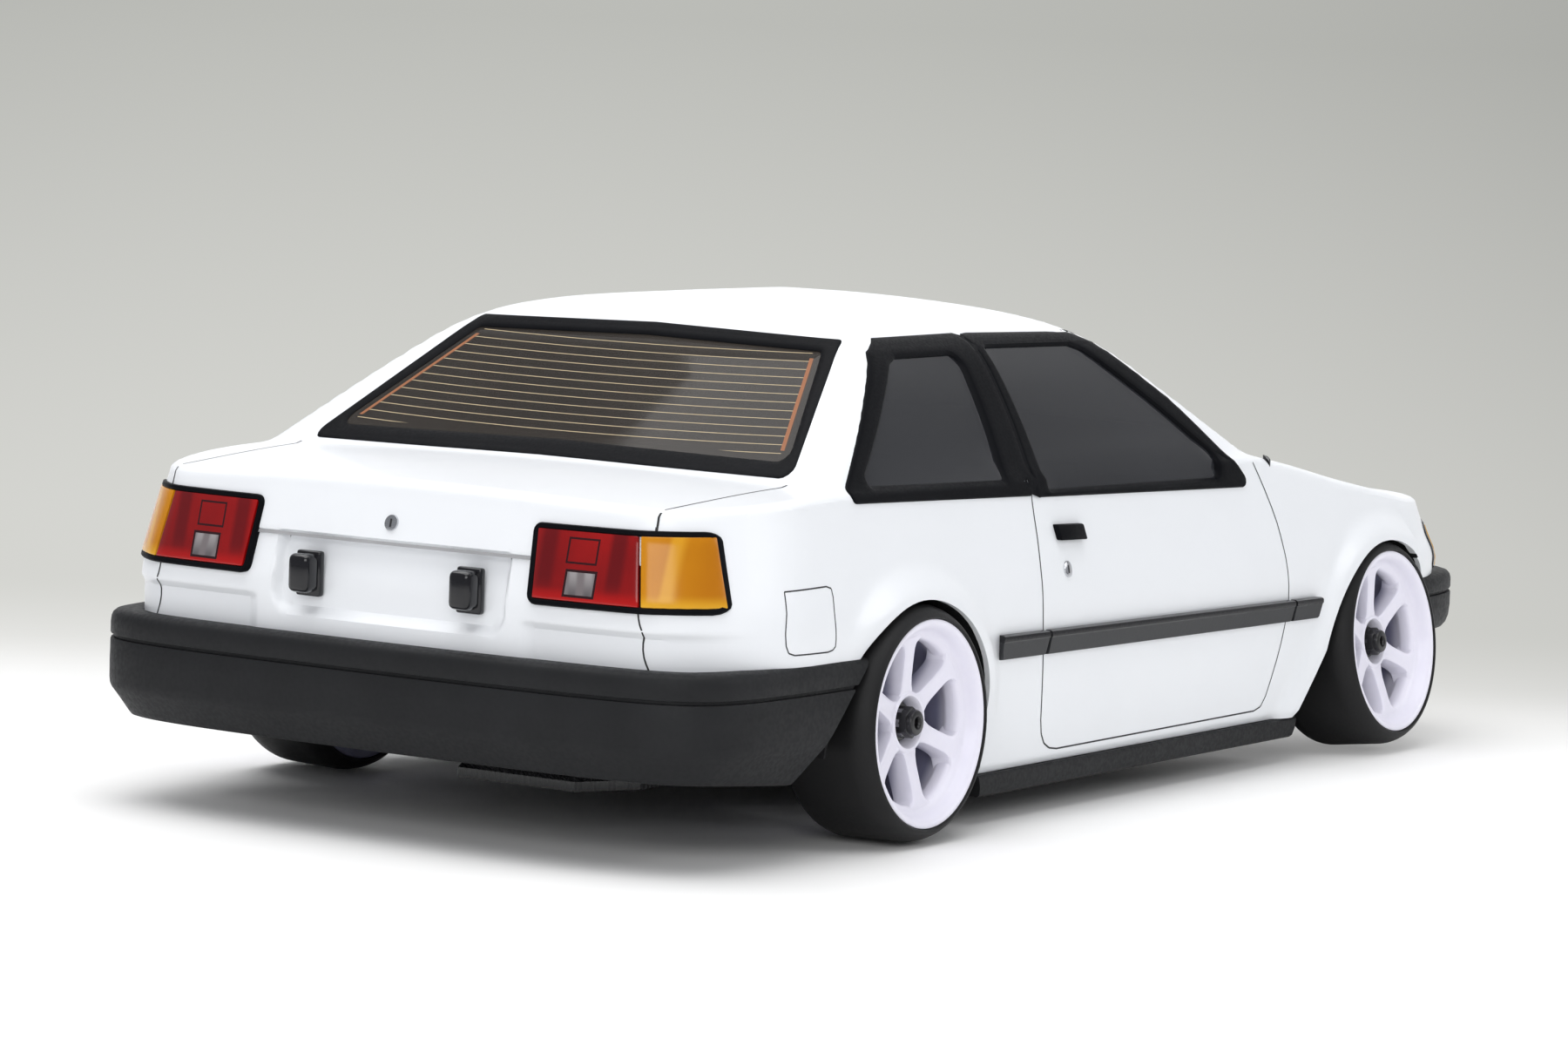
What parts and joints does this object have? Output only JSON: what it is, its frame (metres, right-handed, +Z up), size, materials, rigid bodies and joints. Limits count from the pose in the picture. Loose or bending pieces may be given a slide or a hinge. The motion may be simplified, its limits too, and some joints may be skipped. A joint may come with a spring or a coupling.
{
  "type": "radio-controlled drift car",
  "caption": "Scale saloon drift car: painted lift-off shell with lamps and windows over a rear-drive carbon chassis with sprung arms, steering and cambered slick wheels.",
  "frame": {"origin": "middle of the car's length and width, on the floor under the tyres", "axes": "+X towards the nose, +Y to the car's left side, +Z up; the wheels turn about Y"},
  "size_m": [0.436, 0.206, 0.1306],
  "materials": {
    "carbon": "woven carbon, satin",
    "case_plastic": "fine matte moulding",
    "alloy_damper": "anodised grey, satin",
    "motor": "satin black",
    "servo_plastic": "semi-gloss black",
    "battery_case": "matte dark blue case",
    "post_plastic": "matte black",
    "spring_steel": "bright wire",
    "white_paint": "gloss white paint on a moulded shell",
    "trim_plastic": "satin charcoal",
    "smoked_pane": "smoked clear plastic",
    "window_black": "satin black",
    "lamp_red": "clear red and amber lenses",
    "lamp_clear": "clear lenses",
    "gloss_black": "gloss black",
    "anodised": "satin",
    "steel": "machined",
    "gear_plastic": "off-white moulding",
    "arm_plastic": "matte black moulding",
    "link_alloy": "dark anodised",
    "wheel_white": "gloss white",
    "tyre_rubber": "smooth hard slick"
  },
  "bodies": {
    "chassis": {"chassis_plate": "carbon", "upper_deck": "carbon", "front_bulkhead": "case_plastic", "gearbox_case": "case_plastic", "shock_towers": "carbon", "damper_cylinders": "alloy_damper", "motor_can": "motor", "steering_servo": "servo_plastic", "battery": "battery_case", "electronics": "servo_plastic", "body_posts": "post_plastic", "rear_spring_left": "spring_steel", "rear_spring_right": "spring_steel", "front_spring_left": "spring_steel", "front_spring_right": "spring_steel"},
    "shell": {"body_shell": "white_paint", "front_bumper": "trim_plastic", "rear_bumper": "trim_plastic", "side_skirts": "trim_plastic", "windows": "smoked_pane", "window_trims": "window_black", "tail_lights": "lamp_red", "headlights": "lamp_clear", "body_trim": "gloss_black"},
    "servo_horn": {"servo_horn": "anodised"},
    "tie_rod_left": {"tie_rod_left": "link_alloy"},
    "tie_rod_right": {"tie_rod_right": "link_alloy"},
    "motor_pinion": {"motor_pinion": "steel"},
    "spur_gear": {"spur_gear": "gear_plastic"},
    "rear_spool": {"rear_spool": "steel"},
    "rear_lower_arm_left": {"rear_lower_arm_left": "arm_plastic"},
    "rear_upper_arm_left": {"rear_upper_arm_left": "link_alloy"},
    "rear_hub_carrier_left": {"rear_hub_carrier_left": "arm_plastic"},
    "rear_wheel_left": {"rear_rim_left": "wheel_white", "rear_tyre_left": "tyre_rubber", "rear_axle_left": "steel"},
    "driveshaft_left": {"driveshaft_left": "steel"},
    "rear_damper_shaft_left": {"rear_damper_shaft_left": "steel"},
    "rear_lower_arm_right": {"rear_lower_arm_right": "arm_plastic"},
    "rear_upper_arm_right": {"rear_upper_arm_right": "link_alloy"},
    "rear_hub_carrier_right": {"rear_hub_carrier_right": "arm_plastic"},
    "rear_wheel_right": {"rear_rim_right": "wheel_white", "rear_tyre_right": "tyre_rubber", "rear_axle_right": "steel"},
    "driveshaft_right": {"driveshaft_right": "steel"},
    "rear_damper_shaft_right": {"rear_damper_shaft_right": "steel"},
    "front_lower_arm_left": {"front_lower_arm_left": "arm_plastic"},
    "front_upper_arm_left": {"front_upper_arm_left": "arm_plastic"},
    "front_c_hub_left": {"front_c_hub_left": "arm_plastic"},
    "front_knuckle_left": {"front_knuckle_left": "arm_plastic"},
    "front_wheel_left": {"front_rim_left": "wheel_white", "front_tyre_left": "tyre_rubber"},
    "front_damper_shaft_left": {"front_damper_shaft_left": "steel"},
    "front_lower_arm_right": {"front_lower_arm_right": "arm_plastic"},
    "front_upper_arm_right": {"front_upper_arm_right": "arm_plastic"},
    "front_c_hub_right": {"front_c_hub_right": "arm_plastic"},
    "front_knuckle_right": {"front_knuckle_right": "arm_plastic"},
    "front_wheel_right": {"front_rim_right": "wheel_white", "front_tyre_right": "tyre_rubber"},
    "front_damper_shaft_right": {"front_damper_shaft_right": "steel"}
  },
  "joints": [
    {"name": "body_lift", "type": "slide", "parent": "chassis", "child": "shell", "axis": [0, 0, 1], "range_m": [0, 0.09]},
    {"name": "rear_bump_left", "type": "hinge", "parent": "chassis", "child": "rear_lower_arm_left", "pos_m": [-0.1186, 0.02, 0.015], "axis": [1, 0, 0], "range_deg": [-4, 0], "stiffness_Nm_per_rad": 0.8, "springref_deg": 5.73},
    {"name": "rear_upper_left", "type": "hinge", "parent": "chassis", "child": "rear_upper_arm_left", "pos_m": [-0.1186, 0.02, 0.044], "axis": [1, 0, 0], "range_deg": [-4, 0]},
    {"name": "rear_upright_left", "type": "hinge", "parent": "rear_lower_arm_left", "child": "rear_hub_carrier_left", "pos_m": [-0.1186, 0.06, 0.015], "axis": [1, 0, 0], "range_deg": [0, 4]},
    {"name": "rear_damper_left", "type": "slide", "parent": "chassis", "child": "rear_damper_shaft_left", "axis": [0, 0, 1], "range_m": [-0.0016, 0], "deforming": ["rear_spring_left"]},
    {"name": "rear_bump_right", "type": "hinge", "parent": "chassis", "child": "rear_lower_arm_right", "pos_m": [-0.1186, -0.02, 0.015], "axis": [-1, 0, 0], "range_deg": [-4, 0], "stiffness_Nm_per_rad": 0.8, "springref_deg": 5.73},
    {"name": "rear_upper_right", "type": "hinge", "parent": "chassis", "child": "rear_upper_arm_right", "pos_m": [-0.1186, -0.02, 0.044], "axis": [-1, 0, 0], "range_deg": [-4, 0]},
    {"name": "rear_upright_right", "type": "hinge", "parent": "rear_lower_arm_right", "child": "rear_hub_carrier_right", "pos_m": [-0.1186, -0.06, 0.015], "axis": [-1, 0, 0], "range_deg": [0, 4]},
    {"name": "rear_damper_right", "type": "slide", "parent": "chassis", "child": "rear_damper_shaft_right", "axis": [0, 0, 1], "range_m": [-0.0016, 0], "deforming": ["rear_spring_right"]},
    {"name": "front_bump_left", "type": "hinge", "parent": "chassis", "child": "front_lower_arm_left", "pos_m": [0.1384, 0.02, 0.015], "axis": [1, 0, 0], "range_deg": [-4, 0], "stiffness_Nm_per_rad": 0.8, "springref_deg": 5.73},
    {"name": "front_upper_left", "type": "hinge", "parent": "chassis", "child": "front_upper_arm_left", "pos_m": [0.1384, 0.02, 0.044], "axis": [1, 0, 0], "range_deg": [-4, 0]},
    {"name": "front_upright_left", "type": "hinge", "parent": "front_lower_arm_left", "child": "front_c_hub_left", "pos_m": [0.1384, 0.057, 0.015], "axis": [1, 0, 0], "range_deg": [0, 4]},
    {"name": "front_damper_left", "type": "slide", "parent": "chassis", "child": "front_damper_shaft_left", "axis": [0, 0, 1], "range_m": [-0.0016, 0], "deforming": ["front_spring_left"]},
    {"name": "front_bump_right", "type": "hinge", "parent": "chassis", "child": "front_lower_arm_right", "pos_m": [0.1384, -0.02, 0.015], "axis": [-1, 0, 0], "range_deg": [-4, 0], "stiffness_Nm_per_rad": 0.8, "springref_deg": 5.73},
    {"name": "front_upper_right", "type": "hinge", "parent": "chassis", "child": "front_upper_arm_right", "pos_m": [0.1384, -0.02, 0.044], "axis": [-1, 0, 0], "range_deg": [-4, 0]},
    {"name": "front_upright_right", "type": "hinge", "parent": "front_lower_arm_right", "child": "front_c_hub_right", "pos_m": [0.1384, -0.057, 0.015], "axis": [-1, 0, 0], "range_deg": [0, 4]},
    {"name": "front_damper_right", "type": "slide", "parent": "chassis", "child": "front_damper_shaft_right", "axis": [0, 0, 1], "range_m": [-0.0016, 0], "deforming": ["front_spring_right"]},
    {"name": "steer_left", "type": "hinge", "parent": "front_c_hub_left", "child": "front_knuckle_left", "pos_m": [0.1384, 0.067, 0.03], "axis": [0, 0, 1], "range_deg": [-35, 35]},
    {"name": "steer_right", "type": "hinge", "parent": "front_c_hub_right", "child": "front_knuckle_right", "pos_m": [0.1384, -0.067, 0.03], "axis": [0, 0, 1], "range_deg": [-35, 35]},
    {"name": "servo_turn", "type": "hinge", "parent": "chassis", "child": "servo_horn", "pos_m": [0.1044, 0, 0.034], "axis": [0, 0, 1], "range_deg": [-35, 35]},
    {"name": "tie_rod_turn_left", "type": "hinge", "parent": "servo_horn", "child": "tie_rod_left", "pos_m": [0.0884, 0, 0.038], "axis": [0, 0, 1], "range_deg": [-35, 35]},
    {"name": "tie_rod_turn_right", "type": "hinge", "parent": "servo_horn", "child": "tie_rod_right", "pos_m": [0.0884, 0, 0.038], "axis": [0, 0, 1], "range_deg": [-35, 35]},
    {"name": "front_spin_left", "type": "hinge", "parent": "front_knuckle_left", "child": "front_wheel_left", "pos_m": [0.1384, 0.0869, 0.03034], "axis": [0, 0.9925, 0.1219], "continuous": true},
    {"name": "front_spin_right", "type": "hinge", "parent": "front_knuckle_right", "child": "front_wheel_right", "pos_m": [0.1384, -0.0869, 0.03034], "axis": [0, 0.9925, -0.1219], "continuous": true},
    {"name": "rear_spin_left", "type": "hinge", "parent": "rear_hub_carrier_left", "child": "rear_wheel_left", "pos_m": [-0.1186, 0.08621, 0.02984], "axis": [0, 0.9995, 0.0332], "continuous": true},
    {"name": "rear_spin_right", "type": "hinge", "parent": "rear_hub_carrier_right", "child": "rear_wheel_right", "pos_m": [-0.1186, -0.08621, 0.02984], "axis": [0, 0.9995, -0.0332], "continuous": true},
    {"name": "driveshaft_spin_left", "type": "hinge", "parent": "rear_upper_arm_left", "child": "driveshaft_left", "pos_m": [-0.1186, 0.02, 0.02897], "axis": [0, 1, 0], "continuous": true},
    {"name": "driveshaft_spin_right", "type": "hinge", "parent": "rear_upper_arm_right", "child": "driveshaft_right", "pos_m": [-0.1186, -0.02, 0.02897], "axis": [0, 1, 0], "continuous": true},
    {"name": "spool_spin", "type": "hinge", "parent": "chassis", "child": "rear_spool", "pos_m": [-0.1186, 0, 0.02897], "axis": [0, 1, 0], "continuous": true},
    {"name": "spur_spin", "type": "hinge", "parent": "chassis", "child": "spur_gear", "pos_m": [-0.10163, 0, 0.04594], "axis": [0, 1, 0], "continuous": true},
    {"name": "pinion_spin", "type": "hinge", "parent": "chassis", "child": "motor_pinion", "pos_m": [-0.07541, 0, 0.0364], "axis": [0, 1, 0], "continuous": true}
  ],
  "couplings": [
    {"joint": "rear_upper_left", "follows": "rear_bump_left", "ratio": 1},
    {"joint": "rear_upright_left", "follows": "rear_bump_left", "ratio": -1},
    {"joint": "rear_damper_left", "follows": "rear_bump_left", "m_per_rad": 0.022},
    {"joint": "rear_upper_right", "follows": "rear_bump_right", "ratio": 1},
    {"joint": "rear_upright_right", "follows": "rear_bump_right", "ratio": -1},
    {"joint": "rear_damper_right", "follows": "rear_bump_right", "m_per_rad": 0.022},
    {"joint": "front_upper_left", "follows": "front_bump_left", "ratio": 1},
    {"joint": "front_upright_left", "follows": "front_bump_left", "ratio": -1},
    {"joint": "front_damper_left", "follows": "front_bump_left", "m_per_rad": 0.022},
    {"joint": "front_upper_right", "follows": "front_bump_right", "ratio": 1},
    {"joint": "front_upright_right", "follows": "front_bump_right", "ratio": -1},
    {"joint": "front_damper_right", "follows": "front_bump_right", "m_per_rad": 0.022},
    {"joint": "steer_right", "follows": "steer_left", "ratio": 1},
    {"joint": "servo_turn", "follows": "steer_left", "ratio": 1},
    {"joint": "tie_rod_turn_left", "follows": "steer_left", "ratio": -1},
    {"joint": "tie_rod_turn_right", "follows": "steer_left", "ratio": -1},
    {"joint": "rear_spin_right", "follows": "rear_spin_left", "ratio": 1},
    {"joint": "driveshaft_spin_left", "follows": "rear_spin_left", "ratio": 1},
    {"joint": "driveshaft_spin_right", "follows": "rear_spin_left", "ratio": 1},
    {"joint": "spool_spin", "follows": "rear_spin_left", "ratio": 1},
    {"joint": "spur_spin", "follows": "rear_spin_left", "ratio": -2.3333},
    {"joint": "pinion_spin", "follows": "rear_spin_left", "ratio": 7.1014}
  ]
}
